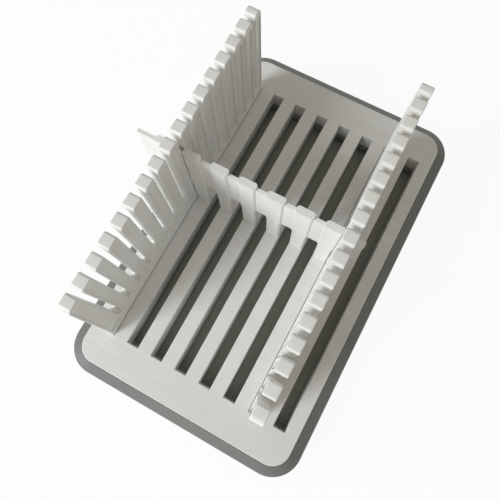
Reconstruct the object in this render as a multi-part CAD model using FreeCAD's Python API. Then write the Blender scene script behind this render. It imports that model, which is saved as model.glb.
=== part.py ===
import FreeCAD, Part
import os

from FreeCAD import Vector

# Bread slicer guide. A slotted board sits in a crumb tray, two comb guides stand in the board's
# slots, and a loaf stop stands across them. Millimetres, +Z up, front at -Y. The origin is at the
# centre of the whole footprint, the stop's overhang counted in, on the surface below the feet. The
# functions work from the tray's own centre, and the finished shapes are moved over at the end.

# Slots of the board, which run from front to back.
SLOT_COUNT = 8
SLOT_PITCH = 22.5
SLOT_WIDTH = 10.2
SLOT_LENGTH = 257.0
SLOT_WALL = 1.6
SLOT_DEPTH = 20.0
SLOT_MOUTH = 0.5
STEP_LENGTH = 2.5
STEP_THICKNESS = 2.0

# Board.
BOARD_LENGTH = 313.0
BOARD_MARGIN = 16.25
BOARD_THICKNESS = 3.0
BOARD_CORNER = 15.5
BOARD_EDGE = 0.8

# Crumb tray: a basin with a sloping rim that turns down into an outer skirt.
FIT_GAP = 0.4
RIM_WIDTH = 9.0
RIM_STEP = 1.0
RIM_DROP = 6.0
RIM_ROUND = 3.0
SKIRT_LEAN = 2.5
TRAY_WALL = 2.2
TRAY_FLOOR = 2.0
LEDGE_WIDTH = 4.0
CRUMB_SPACE = 5.0
LEDGE_PLATE = 2.2

# Feet: round pads under the tray's corners.
FOOT_HEIGHT = 1.5
FOOT_RADIUS = 7.0
FOOT_INSET = 12.0
FOOT_EDGE = 0.5

# Comb guides.
LEFT_SLOT_NUMBER = 1
RIGHT_SLOT_NUMBER = 7
GUIDE_HEIGHT = 104.0
GUIDE_THICKNESS = 9.6
GUIDE_LIP = 0.5
FINGER_PITCH = 15.0
FINGER_GAP = 4.5
FINGER_ROUND = 2.0
END_ROUND = 4.0
FRONT_LEAN = 5.0
BACK_LEAN = 2.0
GAP_FLOOR = 14.6
END_GAP = 0.3
POCKET_DEPTH = 1.3
POCKET_SIDE = 1.3
POCKET_FOOT = 7.0

# Loaf stop: a thin web with a thick rib over each bar of the board, and notches for the guides' walls.
STOP_FINGER_NUMBER = 9
STOP_LENGTH = 181.4
STOP_RIB_COUNT = 7
STOP_START_NUMBER = 0
STOP_WEB = 2.9
STOP_WEB_HEIGHT = 82.0
STOP_RIB = 5.6
STOP_RIB_WIDTH = 14.1
STOP_RIB_HEIGHT = 85.0
STOP_NOTCH_WIDTH = 10.1
STOP_NOTCH_HEIGHT = 38.5
STOP_EDGE = 0.5

# Heights and widths that follow from the sizes above.
FLOOR_TOP = FOOT_HEIGHT + TRAY_FLOOR
SLOT_BOTTOM = FLOOR_TOP + CRUMB_SPACE
BOARD_TOP = SLOT_BOTTOM + SLOT_DEPTH
BOARD_BOTTOM = BOARD_TOP - BOARD_THICKNESS
STEP_TOP = SLOT_BOTTOM + STEP_THICKNESS
RIM_CREST = BOARD_TOP - RIM_STEP
RIM_SHOULDER = RIM_CREST - RIM_DROP
BOARD_WIDTH = (SLOT_COUNT - 1) * SLOT_PITCH + 2 * BOARD_MARGIN
FINGER_WIDTH = FINGER_PITCH - FINGER_GAP
GUIDE_BACK = SLOT_LENGTH / 2 - END_GAP
GUIDE_FRONT = -GUIDE_BACK
FINGER_COUNT = int((GUIDE_BACK - GUIDE_FRONT + FINGER_GAP) / FINGER_PITCH)
FINGER_START = GUIDE_BACK - FINGER_COUNT * FINGER_PITCH + FINGER_GAP
GUIDE_TOP = BOARD_TOP + GUIDE_HEIGHT
STOP_CENTRE = (STOP_START_NUMBER - (SLOT_COUNT + 1) / 2 + STOP_RIB_COUNT / 2) * SLOT_PITCH
ORIGIN_SHIFT = (STOP_LENGTH / 2 - STOP_CENTRE - BOARD_WIDTH / 2 - FIT_GAP - RIM_WIDTH) / 2
THROUGH = 1.0
TOUCH = 1e-4


def slot_x(number):
    """Centre line of a slot, counted from 1 at the left."""
    return (number - (SLOT_COUNT + 1) / 2) * SLOT_PITCH


def box(x0, x1, y0, y1, z0, z1):
    return Part.makeBox(x1 - x0, y1 - y0, z1 - z0, Vector(x0, y0, z0))


def rounded_outline(growth, z):
    """The board's outline, grown by an amount all round, as a wire at one height."""
    half_x = BOARD_WIDTH / 2 + growth
    half_y = BOARD_LENGTH / 2 + growth
    radius = BOARD_CORNER + growth
    diagonal = radius * (1 - 0.5 ** 0.5)
    edges = []
    corners = [(1, -1, True), (1, 1, False), (-1, 1, True), (-1, -1, False)]
    last = Vector(-half_x + radius, -half_y, z)
    for side_x, side_y, along_x_first in corners:
        on_x_side = Vector(side_x * half_x, side_y * (half_y - radius), z)
        on_y_side = Vector(side_x * (half_x - radius), side_y * half_y, z)
        middle = Vector(side_x * (half_x - diagonal), side_y * (half_y - diagonal), z)
        start, end = (on_y_side, on_x_side) if along_x_first else (on_x_side, on_y_side)
        edges.append(Part.makeLine(last, start))
        edges.append(Part.Arc(start, middle, end).toShape())
        last = end
    return Part.Wire(edges)


def slab(growth, z0, z1):
    """The board's outline, grown and extruded between two heights."""
    face = Part.Face(rounded_outline(growth, z0))
    return face.extrude(Vector(0, 0, z1 - z0))


def taper(growth0, z0, growth1, z1):
    """A solid that runs from one grown outline to another."""
    wires = [rounded_outline(growth0, z0), rounded_outline(growth1, z1)]
    return Part.makeLoft(wires, True, True)


def level_edges(shape, z):
    """Edges of a shape that lie flat at one height."""
    found = []
    for edge in shape.Edges:
        bounds = edge.BoundBox
        if abs(bounds.ZMin - z) < TOUCH and abs(bounds.ZMax - z) < TOUCH:
            found.append(edge)
    return found


def slotted_board():
    """A plate with a hanging wall round each slot and a step at each slot's ends."""
    plate = slab(0, BOARD_BOTTOM, BOARD_TOP)
    board = plate.makeFillet(BOARD_EDGE, level_edges(plate, BOARD_TOP))
    half_y = SLOT_LENGTH / 2
    walls = []
    mouths = []
    for number in range(1, SLOT_COUNT + 1):
        x0 = slot_x(number) - SLOT_WIDTH / 2
        x1 = x0 + SLOT_WIDTH
        walls.append(box(x0 - SLOT_WALL, x1 + SLOT_WALL, -half_y - SLOT_WALL, half_y + SLOT_WALL,
                         SLOT_BOTTOM, BOARD_BOTTOM))
        mouths.append(box(x0, x1, -half_y, half_y, STEP_TOP, BOARD_TOP + THROUGH))
        mouths.append(box(x0, x1, -half_y + STEP_LENGTH, half_y - STEP_LENGTH,
                          SLOT_BOTTOM - THROUGH, STEP_TOP))
    board = board.fuse(walls).removeSplitter().cut(mouths)
    rims = []
    for edge in level_edges(board, BOARD_TOP):
        if abs(edge.CenterOfMass.y) <= half_y + TOUCH and edge.Length <= SLOT_LENGTH + TOUCH:
            rims.append(edge)
    return board.makeChamfer(SLOT_MOUTH, rims)


def crumb_tray():
    """A basin whose wall carries the board, inside a sloping rim and an outer skirt."""
    inner = FIT_GAP
    outer = FIT_GAP + RIM_WIDTH
    basin_outside = FIT_GAP - LEDGE_WIDTH + TRAY_WALL
    basin_inside = FIT_GAP - LEDGE_WIDTH
    plate_bottom = BOARD_BOTTOM - LEDGE_PLATE
    hollow_top = RIM_SHOULDER - TRAY_WALL
    lean = SKIRT_LEAN / (RIM_SHOULDER - FOOT_HEIGHT)
    skirt = taper(outer - SKIRT_LEAN, FOOT_HEIGHT, outer, RIM_SHOULDER)
    rim = taper(outer, RIM_SHOULDER, inner, RIM_CREST)
    body = skirt.fuse(rim)
    body = body.makeFillet(RIM_ROUND, level_edges(body, RIM_SHOULDER))
    recess = slab(inner, BOARD_BOTTOM, RIM_CREST + THROUGH)
    basin = slab(basin_inside, FLOOR_TOP, BOARD_BOTTOM + THROUGH)
    hollow_foot = outer - SKIRT_LEAN - TRAY_WALL - lean * THROUGH
    hollow = taper(hollow_foot, FOOT_HEIGHT - THROUGH,
                   hollow_foot + lean * (hollow_top - FOOT_HEIGHT + THROUGH), hollow_top)
    slope = taper(hollow_foot + lean * (hollow_top - FOOT_HEIGHT + THROUGH), hollow_top,
                  inner, plate_bottom)
    core = slab(basin_outside, FOOT_HEIGHT - 2 * THROUGH, BOARD_BOTTOM)
    channel = hollow.fuse(slope).cut(core)
    return body.cut([recess, basin, channel])


def tray_feet():
    """Four pads under the basin's floor, near its corners."""
    reach_x = BOARD_WIDTH / 2 - LEDGE_WIDTH - FOOT_INSET
    reach_y = BOARD_LENGTH / 2 - LEDGE_WIDTH - FOOT_INSET
    feet = []
    for side_x in (-1, 1):
        for side_y in (-1, 1):
            centre = Vector(side_x * reach_x, side_y * reach_y, 0)
            pad = Part.makeCylinder(FOOT_RADIUS, FOOT_HEIGHT, centre)
            feet.append(pad.makeChamfer(FOOT_EDGE, level_edges(pad, 0)[:1]))
    return Part.makeCompound(feet)


def finger_span(number):
    """Front and back of one finger's own width, counted from 1."""
    front = FINGER_START + (number - 1) * FINGER_PITCH
    return front, front + FINGER_WIDTH


def finger_edges(number, z):
    """Front and back of one finger at a height; the comb's two end edges lean inwards."""
    front, back = finger_span(number)
    share = (z - BOARD_TOP) / GUIDE_HEIGHT
    if number == 1:
        front = GUIDE_FRONT + FRONT_LEAN * share
    if number == FINGER_COUNT:
        back = GUIDE_BACK - BACK_LEAN * share
    return front, back


def turn(centre_y, centre_z, radius, start, middle, end):
    """An arc in the side plane through three directions, each a (y, z) pair."""
    points = [Vector(0, centre_y + radius * y, centre_z + radius * z) for y, z in (start, middle, end)]
    return Part.Arc(*points).toShape()


def guide_outline(foot_z):
    """Side outline of a comb guide, with round finger tops and gap floors."""
    half = 0.5 ** 0.5
    gap_round = FINGER_GAP / 2
    gap_z = BOARD_TOP + GAP_FLOOR + gap_round
    foot_front = Vector(0, GUIDE_FRONT, foot_z)
    foot_back = Vector(0, GUIDE_BACK, foot_z)
    last = Vector(0, GUIDE_FRONT, BOARD_TOP)
    edges = [Part.makeLine(foot_front, last)]
    for number in range(1, FINGER_COUNT + 1):
        front_round = END_ROUND if number == 1 else FINGER_ROUND
        back_round = END_ROUND if number == FINGER_COUNT else FINGER_ROUND
        front = finger_edges(number, GUIDE_TOP)[0]
        back = finger_edges(number, GUIDE_TOP)[1]
        edges.append(Part.makeLine(last, Vector(0, front, GUIDE_TOP - front_round)))
        edges.append(turn(front + front_round, GUIDE_TOP - front_round, front_round,
                          (-1, 0), (-half, half), (0, 1)))
        edges.append(Part.makeLine(Vector(0, front + front_round, GUIDE_TOP),
                                   Vector(0, back - back_round, GUIDE_TOP)))
        edges.append(turn(back - back_round, GUIDE_TOP - back_round, back_round,
                          (0, 1), (half, half), (1, 0)))
        last = Vector(0, back, GUIDE_TOP - back_round)
        if number < FINGER_COUNT:
            edges.append(Part.makeLine(last, Vector(0, back, gap_z)))
            edges.append(turn(back + gap_round, gap_z, gap_round, (-1, 0), (0, -1), (1, 0)))
            last = Vector(0, back + FINGER_GAP, gap_z)
    shoulder = Vector(0, GUIDE_BACK, BOARD_TOP)
    edges.append(Part.makeLine(last, shoulder))
    edges.append(Part.makeLine(shoulder, foot_back))
    edges.append(Part.makeLine(foot_back, foot_front))
    return Part.Wire(edges)


def face_edges(shape, x):
    """Edges of a shape that lie in one upright plane."""
    found = []
    for edge in shape.Edges:
        bounds = edge.BoundBox
        if abs(bounds.XMin - x) < TOUCH and abs(bounds.XMax - x) < TOUCH:
            found.append(edge)
    return found


def pocket_face(number):
    """Outline of the pocket in a finger's face, which follows the finger's leaning edges."""
    low = BOARD_TOP + POCKET_FOOT
    high = GUIDE_TOP - END_ROUND - POCKET_SIDE
    low_front, low_back = finger_edges(number, low)
    high_front, high_back = finger_edges(number, high)
    corners = [Vector(0, low_front + POCKET_SIDE, low), Vector(0, low_back - POCKET_SIDE, low),
               Vector(0, high_back - POCKET_SIDE, high), Vector(0, high_front + POCKET_SIDE, high)]
    return Part.Face(Part.makePolygon(corners + corners[:1]))


def comb_guide(slot_number):
    """A comb wall that stands in a slot, with a shallow pocket in both faces of each finger."""
    left = slot_x(slot_number) - GUIDE_THICKNESS / 2
    right = left + GUIDE_THICKNESS
    blank = Part.Face(guide_outline(STEP_TOP)).extrude(Vector(GUIDE_THICKNESS, 0, 0))
    blank.translate(Vector(left, 0, 0))
    guide = blank.makeChamfer(GUIDE_LIP, face_edges(blank, left) + face_edges(blank, right))
    pockets = []
    for number in range(1, FINGER_COUNT + 1):
        face = pocket_face(number)
        for x0 in (left - THROUGH, right - POCKET_DEPTH):
            pocket = face.extrude(Vector(POCKET_DEPTH + THROUGH, 0, 0))
            pocket.translate(Vector(x0, 0, 0))
            pockets.append(pocket)
    return guide.cut(pockets)


def stop_rib(x, y):
    """One rib of the stop: it widens from the web to its full thickness at 45 degrees."""
    foot = STOP_RIB_WIDTH / 2
    crown = foot - (STOP_RIB - STOP_WEB) / 2
    plan = [(-foot, -STOP_WEB / 2), (-crown, -STOP_RIB / 2), (crown, -STOP_RIB / 2),
            (foot, -STOP_WEB / 2), (foot, STOP_WEB / 2), (crown, STOP_RIB / 2),
            (-crown, STOP_RIB / 2), (-foot, STOP_WEB / 2)]
    points = [Vector(x + dx, y + dy, BOARD_TOP) for dx, dy in plan]
    face = Part.Face(Part.makePolygon(points + points[:1]))
    rib = face.extrude(Vector(0, 0, STOP_RIB_HEIGHT))
    return rib.makeChamfer(STOP_EDGE, level_edges(rib, BOARD_TOP + STOP_RIB_HEIGHT))


def loaf_stop():
    """A ribbed panel across the guides, cut away below between its ribs to pass over their walls."""
    y = finger_span(STOP_FINGER_NUMBER)[1] + FINGER_GAP / 2
    first_rib = slot_x(STOP_START_NUMBER) + SLOT_PITCH / 2
    left = STOP_CENTRE - STOP_LENGTH / 2
    right = STOP_CENTRE + STOP_LENGTH / 2
    web = box(left, right, y - STOP_WEB / 2, y + STOP_WEB / 2,
              BOARD_TOP, BOARD_TOP + STOP_WEB_HEIGHT)
    web = web.makeChamfer(STOP_EDGE, level_edges(web, BOARD_TOP + STOP_WEB_HEIGHT))
    leg = (SLOT_PITCH - STOP_NOTCH_WIDTH) / 2
    leg_x = [first_rib + index * SLOT_PITCH for index in range(STOP_RIB_COUNT)]
    ribs = [stop_rib(x, y) for x in leg_x]
    starts = [left - THROUGH] + [x + leg for x in leg_x]
    ends = [x - leg for x in leg_x] + [right + THROUGH]
    notches = []
    for start, end in zip(starts, ends):
        notches.append(box(start, end, y - STOP_RIB, y + STOP_RIB,
                           BOARD_TOP - THROUGH, BOARD_TOP + STOP_NOTCH_HEIGHT))
    return web.fuse(ribs).cut(notches).removeSplitter()


NODES = {
    "crumb_tray": crumb_tray(),
    "tray_feet": tray_feet(),
    "slotted_board": slotted_board(),
    "left_guide": comb_guide(LEFT_SLOT_NUMBER),
    "right_guide": comb_guide(RIGHT_SLOT_NUMBER),
    "loaf_stop": loaf_stop(),
}

os.makedirs("parts", exist_ok=True)
for name, shape in NODES.items():
    shape.translate(Vector(ORIGIN_SHIFT, 0, 0))
    shape.exportStep("parts/" + name + ".step")
    bounds = shape.BoundBox
    print("%-14s solids %d  valid %s  volume %.0f  x %.2f..%.2f  y %.2f..%.2f  z %.2f..%.2f" % (
        name, len(shape.Solids), shape.isValid(), shape.Volume, bounds.XMin, bounds.XMax,
        bounds.YMin, bounds.YMax, bounds.ZMin, bounds.ZMax))
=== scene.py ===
# %% [markdown]
# # A bread slicer guide
# Two comb walls stand in the slots of a board, a loaf lies between them against a ribbed stop, and
# the knife runs down through the gaps of both combs. The board rests in a tray that catches crumbs.
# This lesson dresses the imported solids: the board, the tray and its feet keep their own meshes and
# get a finish, while the combs and the stop are modelled again with softer, moulded edges.
# Everything is in metres, with +Z up and the front of the object towards -Y.

import math

import bmesh
import bpy
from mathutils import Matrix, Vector


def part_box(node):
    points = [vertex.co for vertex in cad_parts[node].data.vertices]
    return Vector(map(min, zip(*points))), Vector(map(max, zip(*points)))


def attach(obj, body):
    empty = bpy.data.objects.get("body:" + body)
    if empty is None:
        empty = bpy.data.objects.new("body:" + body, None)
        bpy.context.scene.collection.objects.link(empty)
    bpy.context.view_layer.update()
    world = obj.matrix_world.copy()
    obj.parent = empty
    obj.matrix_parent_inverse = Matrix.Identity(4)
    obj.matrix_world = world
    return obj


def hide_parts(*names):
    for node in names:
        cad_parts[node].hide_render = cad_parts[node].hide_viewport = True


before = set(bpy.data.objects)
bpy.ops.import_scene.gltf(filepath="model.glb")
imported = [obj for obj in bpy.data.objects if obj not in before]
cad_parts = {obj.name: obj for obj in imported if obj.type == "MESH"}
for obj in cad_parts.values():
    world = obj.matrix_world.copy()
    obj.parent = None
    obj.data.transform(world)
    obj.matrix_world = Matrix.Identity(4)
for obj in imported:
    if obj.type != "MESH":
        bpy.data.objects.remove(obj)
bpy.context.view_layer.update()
print("solids:", sorted(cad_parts))

# %% The boxes that the moulded pieces fill
MM_PER_M = 1000
TINY = 0.00002

board_low, board_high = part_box("slotted_board")
guide_low, guide_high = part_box("left_guide")
other_guide_low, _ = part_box("right_guide")
stop_low, stop_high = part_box("loaf_stop")
print("board top at", round(board_high.z, 4), "guide top at", round(guide_high.z, 4))

# %% [markdown]
# ## Working in edit mode from a script
# A modeller points at faces and edges with the mouse. A script has no mouse, so it asks for them
# by place and direction. These helpers empty the selection, pick what passes a test, and leave the
# next operator to act on it. A plane cut changes only the faces that are picked.
# A face or an edge is taken to point along an axis when its direction's share along that axis is
# more than FACING. SQUARE_ON is stricter, and leaves out the strips of a rounded edge.

# %% Pick faces, edges and points
FACING = 0.9
SQUARE_ON = 0.99


def pick(kind, test):
    """Selects only what passes a test on its place and its direction."""
    bpy.ops.mesh.select_all(action="DESELECT")
    bpy.ops.mesh.select_mode(type=kind)
    shape = bmesh.from_edit_mesh(bpy.context.object.data)
    shape.normal_update()
    if kind == "FACE":
        for face in shape.faces:
            face.select_set(test(face.calc_center_median(), face.normal))
    elif kind == "EDGE":
        for edge in shape.edges:
            start, end = (corner.co for corner in edge.verts)
            edge.select_set(test((start + end) / 2, (end - start).normalized()))
    else:
        for point in shape.verts:
            point.select_set(test(point.co, point.normal))
    shape.select_flush_mode()
    bmesh.update_edit_mesh(bpy.context.object.data)


def everywhere(place, normal):
    return True


# %% Start from a block, then cut, pull and remove
ACROSS = Vector((1, 0, 0))
BACKWARDS = Vector((0, 1, 0))
UPWARDS = Vector((0, 0, 1))


def block(name, low, high):
    """A cube of the wanted size and place, left in edit mode."""
    bpy.ops.object.select_all(action="DESELECT")
    bpy.ops.mesh.primitive_cube_add(size=1, location=(low + high) / 2)
    bpy.context.object.name = name
    bpy.context.object.scale = high - low
    bpy.ops.object.transform_apply(location=True, rotation=True, scale=True)
    bpy.ops.object.mode_set(mode="EDIT")
    return bpy.context.object


def cut(test, distance, direction):
    """Cuts the faces that pass the test by a plane square to an axis, at a distance along it."""
    pick("FACE", test)
    bpy.ops.mesh.bisect(plane_co=direction * distance, plane_no=direction)


def pull(offset):
    bpy.ops.mesh.extrude_region_move(TRANSFORM_OT_translate={"value": offset})


def remove(test):
    pick("FACE", test)
    bpy.ops.mesh.delete(type="FACE")


# %% [markdown]
# An operator that adds several faces at once leaves them in an order that changes from run to run,
# and a later dissolve or bevel can settle a few corners by it. So the cleaned mesh is written anew,
# sorted by place, and the script makes the same piece every time.

# %% Repeat and clean a piece
def apply_modifier(piece, kind, **settings):
    bpy.context.view_layer.objects.active = piece
    modifier = piece.modifiers.new(kind.lower(), kind)
    for name, value in settings.items():
        setattr(modifier, name, value)
    bpy.ops.object.modifier_apply(modifier=modifier.name)


def repeat(piece, count, offset):
    """Copies one section along a line and merges each with the next, then returns to edit mode."""
    bpy.ops.object.mode_set(mode="OBJECT")
    apply_modifier(piece, "ARRAY", count=count, use_relative_offset=False, use_constant_offset=True,
                   constant_offset_displace=offset, use_merge_vertices=True, merge_threshold=TINY)
    bpy.ops.object.mode_set(mode="EDIT")


def put_in_order():
    """Writes the mesh anew, with its points and its faces in the order of their places."""
    bpy.ops.object.mode_set(mode="OBJECT")
    mesh = bpy.context.object.data
    points = sorted(mesh.vertices, key=lambda point: tuple(point.co))
    rank = {point.index: number for number, point in enumerate(points)}
    faces = []
    for face in mesh.polygons:
        corners = [rank[corner] for corner in face.vertices]
        first = corners.index(min(corners))
        faces.append(corners[first:] + corners[:first])
    places = [tuple(point.co) for point in points]
    mesh.clear_geometry()
    mesh.from_pydata(places, [], sorted(faces))
    bpy.ops.object.mode_set(mode="EDIT")


def close_and_clean():
    """Fills the open ends, merges doubled points, turns the faces outwards and sets the order."""
    bpy.ops.mesh.select_all(action="SELECT")
    bpy.ops.mesh.fill_holes(sides=0)
    bpy.ops.mesh.select_all(action="SELECT")
    bpy.ops.mesh.remove_doubles(threshold=TINY / 2)
    bpy.ops.mesh.normals_make_consistent(inside=False)
    put_in_order()


# %% Round, smooth and measure a piece
SOFT_EDGE = 0.0003
SOFT_EDGE_STEPS = 2
SHARP_ANGLE = math.radians(35)
SMOOTH_ANGLE = math.radians(50)
CM3_PER_M3 = 1e6


def round_edges(piece, width, steps):
    """Rounds every edge that is sharper than the limit."""
    bpy.ops.object.mode_set(mode="OBJECT")
    apply_modifier(piece, "BEVEL", width=width, segments=steps, limit_method="ANGLE",
                   angle_limit=SHARP_ANGLE, use_clamp_overlap=True)


def soften(piece):
    """Breaks the sharp edges as a mould does, and keeps the flat faces flat."""
    round_edges(piece, SOFT_EDGE, SOFT_EDGE_STEPS)
    bpy.ops.object.shade_smooth_by_angle(angle=SMOOTH_ANGLE)
    apply_modifier(piece, "WEIGHTED_NORMAL", keep_sharp=True)


def report(piece):
    shape = bmesh.new()
    shape.from_mesh(piece.data)
    loose = sum(1 for edge in shape.edges if len(edge.link_faces) != 2)
    print(piece.name, "faces", len(shape.faces), "open or doubled edges", loose,
          "volume cm3", round(shape.calc_volume() * CM3_PER_M3, 1))
    shape.free()


# %% [markdown]
# ## The comb guides
# Each comb is one moulding: a low wall with seventeen flat fingers on it. A gap between fingers ends
# in a half-round floor, so that it doesn't crack there, and both faces of a finger are hollowed by a
# shallow pocket, which saves plastic and keeps the wall straight as it cools. One finger with its
# gap is modelled and repeated, because the sections then match to the last point.

# %% Sizes of a comb
FINGER_COUNT = 17
FINGER_PITCH = 0.015
FINGER_GAP = 0.0045
GAP_FLOOR = 0.0146
POCKET_SIDE = 0.0013
POCKET_FOOT = 0.007
END_ROUND = 0.004

first_front = guide_high.y - FINGER_COUNT * FINGER_PITCH + FINGER_GAP
finger_width = FINGER_PITCH - FINGER_GAP
finger_back = first_front + finger_width
gap_round = FINGER_GAP / 2
gap_spring = board_high.z + GAP_FLOOR + gap_round
round_start = guide_high.z - END_ROUND
pocket_low = board_high.z + POCKET_FOOT
pocket_high = round_start - POCKET_SIDE
print("finger", round(finger_width * MM_PER_M, 1), "mm, gap", round(FINGER_GAP * MM_PER_M, 1), "mm")

# %% [markdown]
# The half-round floor of the gap starts as a level one. It is cut into narrow strips, and then the
# cuts are lowered one after another. All the cuts come before the first move, because a move tilts
# the strips beside it, and a later cut would no longer lie on the level.

# %% One finger and its gap
GAP_STEPS = 12


def in_gap(place, normal):
    return place.y > finger_back + TINY


def on_finger(place, normal):
    return place.y < finger_back - TINY


def floor_place(angle):
    """Where a cut of the half-round floor lies along the comb."""
    return finger_back + gap_round * (1 - math.cos(angle))


left_guide = block("left_comb", Vector((guide_low.x, first_front, guide_low.z)),
                   Vector((guide_high.x, first_front + FINGER_PITCH, gap_spring)))
cut(everywhere, board_high.z, UPWARDS)
cut(everywhere, pocket_low, UPWARDS)
cut(everywhere, finger_back, BACKWARDS)
arc = [math.pi * step / GAP_STEPS for step in range(1, GAP_STEPS)]
for angle in arc:
    cut(in_gap, floor_place(angle), BACKWARDS)
for angle in arc:
    pick("VERT", lambda place, normal: abs(place.y - floor_place(angle)) < TINY
         and place.z > gap_spring - TINY)
    bpy.ops.transform.translate(value=(0, 0, -gap_round * math.sin(angle)))
pick("FACE", lambda place, normal: on_finger(place, normal) and normal.z > FACING)
pull((0, 0, pocket_high - gap_spring))
pull((0, 0, round_start - pocket_high))
pull((0, 0, END_ROUND))
print("the gap's floor has", len(arc), "cuts and its lowest is", round(GAP_FLOOR * MM_PER_M, 1),
      "mm above the board")

# %% The outline of the pocket in both faces
def beside_pocket(place, normal):
    return (on_finger(place, normal) and abs(normal.x) > FACING
            and pocket_low < place.z < pocket_high)


cut(beside_pocket, first_front + POCKET_SIDE, BACKWARDS)
cut(beside_pocket, finger_back - POCKET_SIDE, BACKWARDS)
print("pocket from", round(pocket_low, 4), "to", round(pocket_high, 4))

# %% Seventeen fingers in a row
remove(lambda place, normal: abs(normal.y) > FACING and place.z < gap_spring
       and not (TINY < place.y - first_front < FINGER_PITCH - TINY))
repeat(left_guide, FINGER_COUNT, (0, FINGER_PITCH, 0))
remove(lambda place, normal: place.y > guide_high.y + TINY)
close_and_clean()
print("fingers", FINGER_COUNT, "from", round(first_front, 4), "to", round(guide_high.y, 4))

# %% [markdown]
# The comb's foot fills the slot from end to end, and above the board both end edges lean inwards. So
# the points of each end, and of the pocket beside it, are moved level by level, by the foot's reach
# and a share of the lean.

# %% The leaning ends
FRONT_LEAN = 0.005
BACK_LEAN = 0.002

levels = [guide_low.z, board_high.z, pocket_low, gap_spring, pocket_high, round_start, guide_high.z]


def lean_end(end_y, foot_reach, lean):
    for level in levels:
        share = min(max(level - board_high.z, 0) / (round_start - board_high.z), 1)
        pick("VERT", lambda place, normal: abs(place.y - end_y) < POCKET_SIDE + TINY
             and abs(place.z - level) < TINY)
        bpy.ops.transform.translate(value=(0, foot_reach + lean * share, 0))


lean_end(first_front, guide_low.y - first_front, FRONT_LEAN)
lean_end(guide_high.y, 0, -BACK_LEAN)
print("both ends moved at", len(levels), "levels")

# %% Round tips and long edges
FINGER_ROUND = 0.002
FINGER_ROUND_STEPS = 4
END_ROUND_STEPS = 6
LONG_EDGE = 0.0008
LONG_EDGE_STEPS = 3

top_front = guide_low.y + FRONT_LEAN
top_back = guide_high.y - BACK_LEAN


def on_tip(place, run):
    return place.z > guide_high.z - TINY and abs(run.x) > FACING


def between_ends(place):
    return top_front + TINY < place.y < top_back - TINY


def round_picked(width, steps):
    bpy.ops.mesh.bevel(offset=width, segments=steps, affect="EDGES", clamp_overlap=False)


pick("EDGE", lambda place, run: on_tip(place, run) and between_ends(place))
round_picked(FINGER_ROUND, FINGER_ROUND_STEPS)
pick("EDGE", lambda place, run: on_tip(place, run) and not between_ends(place))
round_picked(END_ROUND, END_ROUND_STEPS)
close_and_clean()
round_edges(left_guide, LONG_EDGE, LONG_EDGE_STEPS)
print("tips rounded by", FINGER_ROUND * MM_PER_M, "mm, the end corners by", END_ROUND * MM_PER_M, "mm")

# %% Push the pockets in
POCKET_DEPTH = 0.0013
POCKET_DRAFT = 0.0002

pocket_reach = (finger_width - 2 * POCKET_SIDE) / 2


def in_pocket(place, normal):
    along = (place.y - first_front) % FINGER_PITCH
    return (abs(normal.x) > SQUARE_ON and pocket_low < place.z < pocket_high
            and abs(along - finger_width / 2) < pocket_reach)


bpy.ops.object.mode_set(mode="EDIT")
pick("FACE", in_pocket)
bpy.ops.mesh.inset(thickness=POCKET_DRAFT, depth=-POCKET_DEPTH, use_individual=False)
close_and_clean()
soften(left_guide)
report(left_guide)

# %% The second comb
bpy.ops.object.select_all(action="DESELECT")
left_guide.select_set(True)
bpy.context.view_layer.objects.active = left_guide
bpy.ops.object.duplicate(linked=False)
right_guide = bpy.context.object
right_guide.name = "right_comb"
bpy.ops.transform.translate(value=(other_guide_low.x - guide_low.x, 0, 0))
bpy.ops.object.transform_apply(location=True, rotation=False, scale=False)
report(right_guide)

# %% [markdown]
# ## The loaf stop
# The stop is a thin web that seven upright ribs stiffen. The ribs run down to the board as legs, and
# between them the web is cut away so that it passes over the comb walls. It drops into a pair of
# facing gaps, so its web is thinner than a gap. One rib with the web beside it is modelled, then
# repeated, and the two ends are drawn out into plain wings.

# %% Sizes of the stop
SLOT_PITCH = 0.0225
RIB_COUNT = 7
RIB_WIDTH = 0.0141
LEG_WIDTH = 0.0124
LEG_THICKNESS = 0.0052
WEB_THICKNESS = 0.0029
WEB_HEIGHT = 0.082
NOTCH_HEIGHT = 0.0385

stop_middle = (stop_low.y + stop_high.y) / 2
first_rib = stop_low.x + (stop_high.x - stop_low.x - (RIB_COUNT - 1) * SLOT_PITCH) / 2
rib_left = first_rib - RIB_WIDTH / 2
rib_right = first_rib + RIB_WIDTH / 2
web_bottom = stop_low.z + NOTCH_HEIGHT
web_top = stop_low.z + WEB_HEIGHT
rib_thickness = stop_high.y - stop_low.y
crown_lift = (rib_thickness - WEB_THICKNESS) / 2
crown_share = (RIB_WIDTH - 2 * crown_lift) / RIB_WIDTH
print("ribs", RIB_COUNT, "each", round(rib_thickness * MM_PER_M, 1), "mm thick")

# %% One rib and the web beside it
loaf_stop = block("ribbed_stop", Vector((rib_left, stop_middle - WEB_THICKNESS / 2, web_bottom)),
                  Vector((rib_left + SLOT_PITCH, stop_middle + WEB_THICKNESS / 2, web_top)))
cut(everywhere, rib_right, ACROSS)


def on_rib(place):
    return rib_left - TINY < place.x < rib_right - TINY


def resize(across, along):
    centre = (first_rib, stop_middle, web_bottom)
    bpy.ops.transform.resize(value=(across, along, 1), center_override=centre)


pick("FACE", lambda place, normal: on_rib(place) and normal.z > FACING)
pull((0, 0, stop_high.z - web_top))
for side in (-1, 1):
    pick("FACE", lambda place, normal: on_rib(place) and normal.y * side > FACING)
    pull((0, side * crown_lift, 0))
    resize(crown_share, 1)
pick("FACE", lambda place, normal: on_rib(place) and normal.z < -FACING)
pull((0, 0, 0))
resize(LEG_WIDTH / RIB_WIDTH, LEG_THICKNESS / rib_thickness)
pull((0, 0, stop_low.z - web_bottom))
print("a rib's crown stands", round(crown_lift * MM_PER_M, 2), "mm off the web")

# %% Seven ribs, and a wing at each end
FLAT_ANGLE = math.radians(1)

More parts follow.
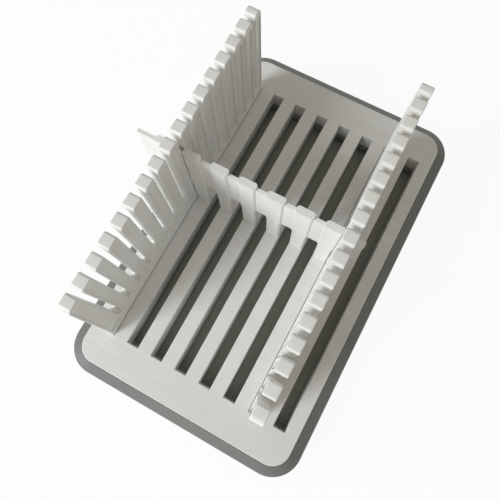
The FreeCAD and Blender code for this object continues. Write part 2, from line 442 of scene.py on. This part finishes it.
row_end = rib_left + RIB_COUNT * SLOT_PITCH
remove(lambda place, normal: abs(normal.x) > FACING and web_bottom < place.z < web_top
       and not (TINY < place.x - rib_left < SLOT_PITCH - TINY))
repeat(loaf_stop, RIB_COUNT, (SLOT_PITCH, 0, 0))
close_and_clean()
pick("FACE", lambda place, normal: place.x > row_end - TINY)
bpy.ops.transform.translate(value=(stop_high.x - row_end, 0, 0))
pick("FACE", lambda place, normal: normal.x < -FACING and place.x < rib_left + TINY
     and web_bottom < place.z < web_top)
pull((stop_low.x - rib_left, 0, 0))
put_in_order()
bpy.ops.mesh.select_all(action="SELECT")
bpy.ops.mesh.dissolve_limited(angle_limit=FLAT_ANGLE)
close_and_clean()
soften(loaf_stop)
report(loaf_stop)

# %% [markdown]
# ## Shader maths as expressions
# A material is a net of nodes, and a net is hard to read in a script. The class below wraps one
# output of a node, so that `grain * 0.4 + 0.5` adds the two Math nodes by itself. Any other node
# comes from one method, which sets the node first and its sockets afterwards. The sky is such a net
# too, so the same class makes it later on.

# %% A wrapped socket
class Wire:
    def __init__(self, net, socket):
        self.net = net
        self.socket = socket

    def maths(self, operation, first, second):
        return self.net.node("ShaderNodeMath", {"operation": operation}, {0: first, 1: second})

    def __add__(self, other):
        return self.maths("ADD", self, other)

    def __sub__(self, other):
        return self.maths("SUBTRACT", self, other)

    def __rsub__(self, other):
        return self.maths("SUBTRACT", other, self)

    def __mul__(self, other):
        return self.maths("MULTIPLY", self, other)

    def __abs__(self):
        return self.maths("ABSOLUTE", self, 0.0)


# %% A net of nodes
class Net:
    """A node tree that is emptied first."""

    def __init__(self, tree):
        self.tree = tree
        self.tree.nodes.clear()

    def node(self, kind, settings=None, inputs=None, output=0):
        made = self.tree.nodes.new(kind)
        for name, value in (settings or {}).items():
            setattr(made, name, value)
        for name, value in (inputs or {}).items():
            if isinstance(value, Wire):
                self.tree.links.new(value.socket, made.inputs[name])
            else:
                made.inputs[name].default_value = value
        return Wire(self, made.outputs[output])

    def ray(self, name):
        """1 for rays of this kind, and 0 for all others."""
        return self.node("ShaderNodeLightPath", output=name)

    def mix_shaders(self, factor, first, second):
        return self.node("ShaderNodeMixShader", inputs={0: factor, 1: first, 2: second})

    def show(self, shader, kind):
        """Ends the net with an output node of this kind."""
        made = self.tree.nodes.new(kind)
        self.tree.links.new(shader.socket, made.inputs["Surface"])


# %% A finish
DRIFT_LOW = 0.35
DRIFT_HIGH = 0.65


class Finish(Net):
    """One material, with the patterns and the surface shader that the finishes share."""

    def __init__(self, name):
        self.material = bpy.data.materials.new(name)
        self.material.use_nodes = True
        super().__init__(self.material.node_tree)
        self.place = self.node("ShaderNodeTexCoord", output="Object")

    def axis(self, name):
        return self.node("ShaderNodeSeparateXYZ", inputs={0: self.place}, output=name)

    def noise(self, scale, detail=2.0, stretch=(1, 1, 1)):
        place = self.node("ShaderNodeMapping", inputs={"Vector": self.place, "Scale": stretch})
        inputs = {"Vector": place, "Scale": scale, "Detail": detail}
        return self.node("ShaderNodeTexNoise", inputs=inputs)

    def ramp(self, value, low, high):
        """0 below low and 1 above high, with a smooth rise between."""
        return self.node("ShaderNodeMapRange", {"interpolation_type": "SMOOTHSTEP"},
                         {"Value": value, "From Min": low, "From Max": high})

    def drift(self, scale):
        """A very soft change from place to place."""
        return self.ramp(self.noise(scale), DRIFT_LOW, DRIFT_HIGH)

    def blend(self, factor, first, second):
        inputs = {0: factor, 6: first, 7: second}
        return self.node("ShaderNodeMix", {"data_type": "RGBA"}, inputs, output=2)

    def surface(self, colour, roughness, height, depth, **constants):
        """The shader, with the height pattern raised by a depth in metres."""
        inputs = {"Height": height, "Distance": depth, "Strength": 1.0}
        bump = self.node("ShaderNodeBump", inputs=inputs)
        inputs = {"Base Color": colour, "Roughness": roughness, "Normal": bump, **constants}
        shader = self.node("ShaderNodeBsdfPrincipled", inputs=inputs, output="BSDF")
        self.show(shader, "ShaderNodeOutputMaterial")
        return self.material


def colour(code):
    """A linear colour from the usual six digits, by the sRGB curve."""
    parts = [int(code[i:i + 2], 16) / 255 for i in (0, 2, 4)]
    return tuple(c / 12.92 if c < 0.04045 else ((c + 0.055) / 1.055) ** 2.4 for c in parts) + (1.0,)


# %% [markdown]
# ## The plastics
# The combs and the stop are one off-white, slightly glossy plastic. The board is the same plastic
# with faint drawn lines from side to side, and the tray is a mid grey with a mat, finely grained
# skin. Each finish has three scales: a very soft drift of tint, a fine moulded grain or drawn line
# that breaks up the highlights, and sparse rub marks, scratches or dust.

# %% Off-white moulding plastic
MOULDED_ROUGHNESS = 0.34
MOULDED_DEPTH = 0.000008
MOULDED_IOR = 1.47
UPRIGHT_STREAKS = (1, 1, 0.12)


def moulding_plastic(name, pale, warm):
    """Fine grain, with upright rub marks that are duller and a little sunk."""
    finish = Finish(name)
    grain = finish.noise(scale=1800.0, detail=1.0)
    rubs = finish.noise(scale=420.0, detail=3.0, stretch=UPRIGHT_STREAKS)
    rubbed = finish.ramp(rubs, low=0.62, high=0.78)
    tint = finish.blend(finish.drift(scale=14.0), colour(pale), colour(warm))
    roughness = grain * 0.08 + rubbed * 0.12 + MOULDED_ROUGHNESS
    return finish.surface(tint, roughness, grain - rubbed * 0.6, MOULDED_DEPTH, IOR=MOULDED_IOR)


guide_plastic = moulding_plastic("guide_plastic", pale="ECECEA", warm="E6E5E0")
stop_plastic = moulding_plastic("stop_plastic", pale="EDEDEB", warm="E7E6E2")
print("finishes", guide_plastic.name, stop_plastic.name)

# %% [markdown]
# The board's lines are noise that is drawn out from side to side. Low down in the slots, the steps
# that the combs stand on are painted darker, as painted shade. It is a second colour, mixed in by a
# mask that is 1 at the steps and fades to 0 above them.

# %% Board plastic with lines from side to side
BOARD_ROUGHNESS = 0.3
BOARD_DEPTH = 0.000012
LINES = (0.012, 1, 1)
WIDE_LINES = (0.02, 1, 1)
SCRATCHES = (0.03, 0.2, 1)
STEP_THICKNESS = 0.002
SHADE_FADE = 0.003
PAINTED_SHADE_COLOUR = "7B7A72"

step_top = board_low.z + STEP_THICKNESS


def lined_plastic(name, pale, warm):
    """Drawn lines and sparse scratches, and painted shade on the steps low down in the slots."""
    finish = Finish(name)
    drift = finish.drift(scale=9.0)
    lines = finish.noise(scale=1500.0, detail=2.0, stretch=LINES)
    wide_lines = finish.noise(scale=300.0, detail=2.0, stretch=WIDE_LINES)
    bands = finish.ramp(wide_lines, low=0.3, high=0.7)
    scratches = finish.noise(scale=900.0, detail=2.0, stretch=SCRATCHES)
    scratched = finish.ramp(scratches, low=0.66, high=0.74)
    clean = finish.blend(drift * 0.5 + bands * 0.5, colour(pale), colour(warm))
    # Painted shade: low in the slots the board is blended towards a darker grey.
    painted_shade = 1 - finish.ramp(finish.axis("Z"), step_top, step_top + SHADE_FADE)
    tint = finish.blend(painted_shade * (drift * 0.2 + 0.8), clean, colour(PAINTED_SHADE_COLOUR))
    roughness = lines * 0.14 + scratched * 0.1 + BOARD_ROUGHNESS
    return finish.surface(tint, roughness, lines - scratched, BOARD_DEPTH)


board_plastic = lined_plastic("board_plastic", pale="E9E9E8", warm="E1E0DC")
print("finish", board_plastic.name, "with grime below", round(step_top + SHADE_FADE, 4))

# %% [markdown]
# The tray and its feet share a grained skin with specks of dust on it. The tray's floor is also
# painted paler inside the tray, as painted light for the fill that reaches the slot bottoms. The
# mask is 1 over the floor inside the tray, and falls to 0 above it and before the ledge that the
# board rests on.

# %% Painted light on the tray's floor
PAINTED_LIGHT_TOP = 0.004
PAINTED_LIGHT_EDGE = 0.001
PAINTED_LIGHT_COLOUR = "B4B5AB"
LEDGE_WIDTH = 0.004


def on_tray_floor(finish):
    """1 on the floor inside the tray, and 0 on the rest of it."""
    middle = (board_low + board_high) / 2
    reach = (board_high - board_low) / 2
    share = 1 - finish.ramp(finish.axis("Z"), PAINTED_LIGHT_TOP, PAINTED_LIGHT_TOP + PAINTED_LIGHT_EDGE)
    for axis, centre, half in (("X", middle.x, reach.x), ("Y", middle.y, reach.y)):
        edge = half - LEDGE_WIDTH
        off_centre = abs(finish.axis(axis) - centre)
        share = share * (1 - finish.ramp(off_centre, edge, edge + PAINTED_LIGHT_EDGE))
    return share


# %% Grey tray plastic and foot rubber
GRAINED_DEPTH = 0.00002


def grained_plastic(name, base, pale, grain_scale, roughness, painted_floor_light):
    """Grained skin with specks of dust, and with painted light on the tray's floor where it is wanted.
    """
    finish = Finish(name)
    grain = finish.noise(grain_scale, detail=2.0)
    dust = finish.ramp(finish.noise(scale=2600.0, detail=1.0), low=0.7, high=0.76)
    tint = finish.blend(finish.drift(scale=11.0) * 0.7 + dust * 0.3, colour(base), colour(pale))
    # Painted light: the floor inside the tray is blended towards a pale grey, for the fill on the slot
    # bottoms.
    if painted_floor_light:
        painted_light = on_tray_floor(finish) * (grain * 0.4 + 0.8)
        tint = finish.blend(painted_light, tint, colour(PAINTED_LIGHT_COLOUR))
    return finish.surface(tint, grain * 0.16 + roughness, grain, GRAINED_DEPTH)


tray_plastic = grained_plastic("tray_plastic", base="747774", pale="7C7E7A", grain_scale=1100.0,
                               roughness=0.38, painted_floor_light=True)
foot_rubber = grained_plastic("foot_rubber", base="2A2A29", pale="343433", grain_scale=1700.0,
                              roughness=0.62, painted_floor_light=False)
print("finishes", tray_plastic.name, foot_rubber.name)

# %% [markdown]
# ## Dressing the solids
# A solid that stays is dressed by putting the finish in its material slot. A moulded piece rides on
# the body of the solid that it stands for, and hides the solid.

# %% Put on the finishes
def dress(piece, finish):
    piece.data.materials.clear()
    piece.data.materials.append(finish)


dress(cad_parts["slotted_board"], board_plastic)
dress(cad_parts["crumb_tray"], tray_plastic)
dress(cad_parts["tray_feet"], foot_rubber)
dress(left_guide, guide_plastic)
dress(right_guide, guide_plastic)
dress(loaf_stop, stop_plastic)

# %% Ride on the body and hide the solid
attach(left_guide, "left_guide")
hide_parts("left_guide")
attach(right_guide, "right_guide")
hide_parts("right_guide")
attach(loaf_stop, "stop")
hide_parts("loaf_stop")

# %% [markdown]
# ## Floor, light and camera
# The object stands on a white floor. The floor shows white to the camera by giving off light that
# only the camera and reflections see, mixed with a plain surface that still takes the shadow. A wide
# soft lamp shines from the front left, and a dim sky fills the shade.

# %% White floor
WHITE = (1, 1, 1, 1)
FLOOR_SIZE = 12.0
FLOOR_COLOUR = "F4F4F4"
FLOOR_GLOW = 0.93

bpy.ops.object.select_all(action="DESELECT")
bpy.ops.mesh.primitive_plane_add(size=FLOOR_SIZE, location=(0, 0, 0))
floor = bpy.context.object
floor.name = "floor"
paper = Finish("white_floor")
seen = paper.node("ShaderNodeMath", {"operation": "MAXIMUM"},
                  {0: paper.ray("Is Camera Ray"), 1: paper.ray("Is Glossy Ray")})
plain = paper.node("ShaderNodeBsdfDiffuse", inputs={"Color": colour(FLOOR_COLOUR)})
glow = paper.node("ShaderNodeEmission", inputs={"Color": WHITE, "Strength": 1.0})
paper.show(paper.mix_shaders(seen * FLOOR_GLOW, plain, glow), "ShaderNodeOutputMaterial")
dress(floor, paper.material)
print("floor", FLOOR_SIZE, "m wide")

# %% A dim sky that the camera sees as white
SKY_TINT = (1.0, 0.965, 0.87, 1)
SKY_STRENGTH = 0.38

world = bpy.data.worlds.new("studio")
bpy.context.scene.world = world
world.use_nodes = True
sky = Net(world.node_tree)
dim = sky.node("ShaderNodeBackground", inputs={"Color": SKY_TINT, "Strength": SKY_STRENGTH})
white = sky.node("ShaderNodeBackground", inputs={"Color": WHITE, "Strength": 1.0})
sky.show(sky.mix_shaders(sky.ray("Is Camera Ray"), dim, white), "ShaderNodeOutputWorld")
print("sky strength", SKY_STRENGTH)

# %% One soft lamp
LAMP_PLACE = Vector((-1.60, -2.30, 1.67))
LAMP_TARGET = Vector((0.0, 0.0, 0.05))
LAMP_SIZE = 1.5
LAMP_POWER = 84.0
LAMP_TINT = (0.94, 0.965, 1.0)

bpy.ops.object.select_all(action="DESELECT")
bpy.ops.object.light_add(type="AREA", location=LAMP_PLACE)
lamp = bpy.context.object
lamp.name = "key_lamp"
lamp.data.shape = "DISK"
lamp.data.size = LAMP_SIZE
lamp.data.energy = LAMP_POWER
lamp.data.color = LAMP_TINT
lamp.rotation_euler = (LAMP_TARGET - LAMP_PLACE).to_track_quat("-Z", "Y").to_euler()
print("lamp", lamp.name, "power", lamp.data.energy, "W")

# %% The camera
SENSOR = 36.0
LENS = 33.99
CAMERA_PLACE = (0.0479, -0.0940, 0.4190)
CAMERA_TURN = (13.915, 1.204, 28.536)

camera_data = bpy.data.cameras.new("camera")
camera_data.sensor_width = SENSOR
camera_data.lens = LENS
camera = bpy.data.objects.new("camera", camera_data)
bpy.context.scene.collection.objects.link(camera)
camera.location = CAMERA_PLACE
camera.rotation_euler = [math.radians(angle) for angle in CAMERA_TURN]
bpy.context.scene.camera = camera
bpy.context.scene.view_settings.view_transform = "Standard"
print("camera", camera.name, "lens", LENS, "mm")
